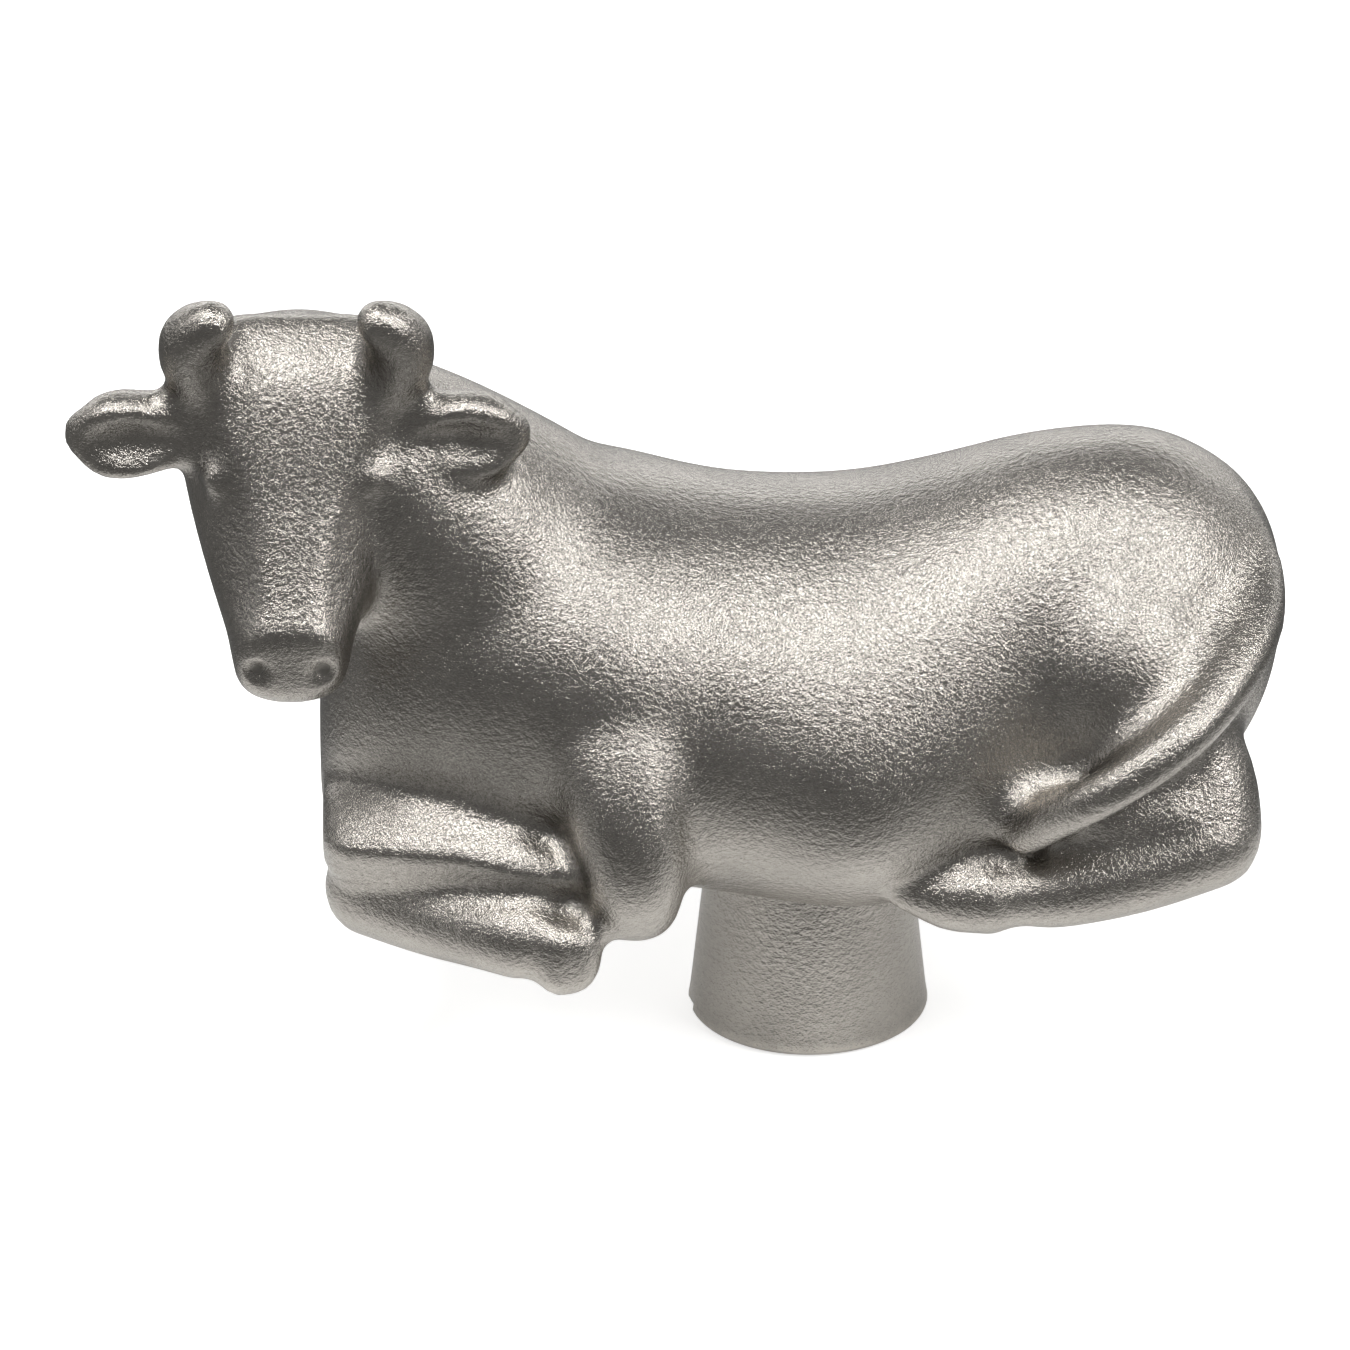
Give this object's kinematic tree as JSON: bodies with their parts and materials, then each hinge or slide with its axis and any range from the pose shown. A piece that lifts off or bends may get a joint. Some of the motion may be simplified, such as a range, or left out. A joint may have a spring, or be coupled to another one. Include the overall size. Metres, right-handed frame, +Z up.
{
  "type": "lid knob",
  "caption": "Satin metal lid knob shaped as a lying cow on a tapered round stem, with its fixing screw and washers.",
  "frame": {"origin": "centre of the stem's foot, on the screw's axis", "axes": "+Z up along the stem, -X towards the cow's chest, -Y towards its left flank, which its head faces"},
  "size_m": [0.0651, 0.0322, 0.0459],
  "materials": {
    "satin_nickel": "bead-blasted satin nickel on a casting, fine orange-peel grain",
    "stainless_steel": "turned and rolled stainless steel",
    "spring_steel": "plated spring steel"
  },
  "bodies": {
    "knob": {"figure_casting": "satin_nickel", "stem": "satin_nickel"},
    "washers": {"plain_washer": "stainless_steel", "spring_washer": "spring_steel"},
    "screw": {"fixing_screw": "stainless_steel"}
  },
  "joints": [
    {"name": "screw_travel", "type": "slide", "parent": "knob", "child": "washers", "axis": [0, 0, -1], "range_m": [0, 0.0144]},
    {"name": "screw_turn", "type": "hinge", "parent": "washers", "child": "screw", "pos_m": [0, 0, 0], "axis": [0, 0, -1], "range_deg": [0, 6481]}
  ],
  "couplings": [
    {"joint": "screw_turn", "follows": "screw_travel", "rad_per_m": 7854}
  ]
}
